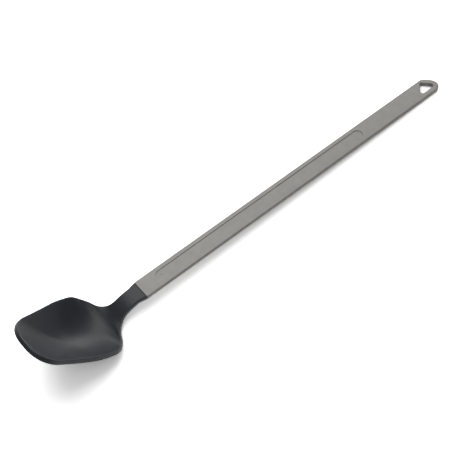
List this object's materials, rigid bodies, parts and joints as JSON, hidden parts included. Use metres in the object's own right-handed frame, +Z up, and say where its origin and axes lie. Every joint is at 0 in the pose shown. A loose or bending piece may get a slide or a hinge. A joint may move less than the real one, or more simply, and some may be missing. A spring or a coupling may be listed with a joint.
{
  "type": "long-handled spoon",
  "caption": "Rigid long-handled spoon: flat aluminium handle with a long recess and a triangular hanging hole, and a dark moulded head with a square-fronted bowl.",
  "frame": {"origin": "bottom centre of the bounding box of the spoon as it lies at rest on its heel and the tip of its handle", "axes": "+X from the bowl to the tip of the handle, +Y to the side with the cut corner of the tip, +Z up out of the bowl"},
  "size_m": [0.2642, 0.0378, 0.0362],
  "materials": {
    "handle_aluminium": "fine bead-blasted and anodised, warm grey",
    "head_nylon": "dark charcoal moulded nylon, satin matte"
  },
  "bodies": {
    "root": {"handle": "handle_aluminium", "spoon_head": "head_nylon"}
  },
  "joints": []
}
